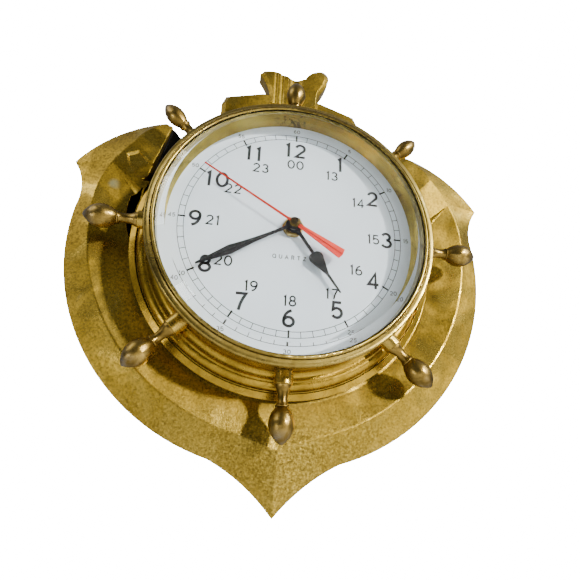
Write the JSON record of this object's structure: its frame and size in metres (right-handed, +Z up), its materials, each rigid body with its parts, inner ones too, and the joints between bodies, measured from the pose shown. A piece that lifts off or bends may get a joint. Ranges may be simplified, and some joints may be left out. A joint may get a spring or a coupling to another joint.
{
  "type": "ship_deck_clock",
  "caption": "Brass ship's wheel quartz deck clock on a cast anchor wall plaque, with bevelled glass and a twelve and twenty-four hour dial",
  "frame": {"origin": "centre of the hanging hole, on the wall plane", "axes": "+X right seen from the front, +Y into the wall, +Z up"},
  "size_m": [0.2058, 0.037, 0.2302],
  "materials": {
    "aged_brass": "aged",
    "case_brass": "satin",
    "bezel_brass": "polished",
    "polished_brass": "polished",
    "dark_bronze": "satin",
    "white_dial": "gloss",
    "clear_glass": "polished",
    "black_hands": "satin",
    "red_hand": "gloss",
    "steel": "satin",
    "yellow_brass": "satin",
    "black_rubber": "matte",
    "pale_gasket": "satin",
    "black_plastic": "matte",
    "grey_plastic": "matte",
    "white_plastic": "matte",
    "copper_wire": "gloss",
    "green_board": "gloss",
    "battery_wrap": "gloss"
  },
  "bodies": {
    "case": {"anchor_plate": "aged_brass", "case_body": "case_brass", "inner_ring": "polished_brass", "handle_ferrule_1": "polished_brass", "handle_ferrule_2": "polished_brass", "handle_ferrule_3": "polished_brass", "handle_ferrule_4": "polished_brass", "handle_ferrule_5": "polished_brass", "handle_ferrule_6": "polished_brass", "handle_ferrule_7": "polished_brass", "handle_ferrule_8": "polished_brass", "wheel_handle_1": "dark_bronze", "wheel_handle_2": "dark_bronze", "wheel_handle_3": "dark_bronze", "wheel_handle_4": "dark_bronze", "wheel_handle_5": "dark_bronze", "wheel_handle_6": "dark_bronze", "wheel_handle_7": "dark_bronze", "wheel_handle_8": "dark_bronze", "dial": "white_dial", "hanger_plate": "steel", "hanger_screws": "steel", "case_screws": "steel", "handle_studs": "steel", "stator": "steel", "quartz_crystal": "steel", "contact_negative": "steel", "contact_positive": "steel", "case_washers": "yellow_brass", "movement_bushing": "yellow_brass", "dial_washer": "yellow_brass", "dial_nut": "yellow_brass", "rubber_washer": "black_rubber", "movement_case": "black_plastic", "board_chip": "black_plastic", "movement_cover": "grey_plastic", "train_bridge": "white_plastic", "coil_bobbin": "white_plastic", "coil_winding": "copper_wire", "circuit_board": "green_board"},
    "seconds_group": {"seconds_wheel": "white_plastic", "seconds_hand": "red_hand", "hand_cap": "polished_brass"},
    "centre_wheel_body": {"centre_wheel": "white_plastic"},
    "third_wheel_body": {"third_wheel": "white_plastic"},
    "fifth_wheel_body": {"fifth_wheel": "white_plastic"},
    "rotor_body": {"rotor": "white_plastic"},
    "minute_group": {"cannon_pinion": "white_plastic", "minute_hand": "black_hands"},
    "hour_group": {"hour_wheel": "white_plastic", "hour_hand": "black_hands"},
    "minute_wheel_body": {"minute_wheel": "white_plastic"},
    "setting_body": {"setting_knob": "black_plastic"},
    "bezel_group": {"bezel": "bezel_brass", "glass": "clear_glass", "glass_gasket": "pale_gasket", "glass_retaining_ring": "steel"},
    "battery_body": {"battery": "battery_wrap"}
  },
  "joints": [
    {"name": "seconds_hand_turn", "type": "hinge", "parent": "case", "child": "seconds_group", "pos_m": [0, -0.03, -0.084], "axis": [0, 1, 0], "continuous": true},
    {"name": "centre_wheel_turn", "type": "hinge", "parent": "case", "child": "centre_wheel_body", "pos_m": [0, -0.018, -0.084], "axis": [0, 1, 0], "continuous": true},
    {"name": "third_wheel_turn", "type": "hinge", "parent": "case", "child": "third_wheel_body", "pos_m": [0.00425, -0.0165, -0.07664], "axis": [0, 1, 0], "continuous": true},
    {"name": "fifth_wheel_turn", "type": "hinge", "parent": "case", "child": "fifth_wheel_body", "pos_m": [-0.00736, -0.014, -0.07975], "axis": [0, 1, 0], "continuous": true},
    {"name": "rotor_turn", "type": "hinge", "parent": "case", "child": "rotor_body", "pos_m": [-0.00986, -0.016, -0.07542], "axis": [0, 1, 0], "continuous": true},
    {"name": "minute_hand_turn", "type": "hinge", "parent": "case", "child": "minute_group", "pos_m": [0, -0.025, -0.084], "axis": [0, 1, 0], "continuous": true},
    {"name": "hour_hand_turn", "type": "hinge", "parent": "case", "child": "hour_group", "pos_m": [0, -0.025, -0.084], "axis": [0, 1, 0], "continuous": true},
    {"name": "minute_wheel_turn", "type": "hinge", "parent": "case", "child": "minute_wheel_body", "pos_m": [0.0075, -0.021, -0.084], "axis": [0, 1, 0], "continuous": true},
    {"name": "setting_knob_turn", "type": "hinge", "parent": "case", "child": "setting_body", "pos_m": [0.015, -0.015, -0.084], "axis": [0, 1, 0], "continuous": true},
    {"name": "bezel_lift", "type": "slide", "parent": "case", "child": "bezel_group", "axis": [0, -1, 0], "range_m": [0, 0.015]},
    {"name": "battery_out", "type": "slide", "parent": "case", "child": "battery_body", "axis": [0, 1, 0], "range_m": [0, 0.0165]}
  ],
  "couplings": [
    {"joint": "centre_wheel_turn", "follows": "seconds_hand_turn", "ratio": 0.016667},
    {"joint": "third_wheel_turn", "follows": "seconds_hand_turn", "ratio": -0.13333},
    {"joint": "fifth_wheel_turn", "follows": "seconds_hand_turn", "ratio": -7.5},
    {"joint": "rotor_turn", "follows": "seconds_hand_turn", "ratio": 30},
    {"joint": "hour_hand_turn", "follows": "minute_hand_turn", "ratio": 0.083333},
    {"joint": "minute_wheel_turn", "follows": "minute_hand_turn", "ratio": -0.33333},
    {"joint": "setting_knob_turn", "follows": "minute_hand_turn", "ratio": 1}
  ]
}
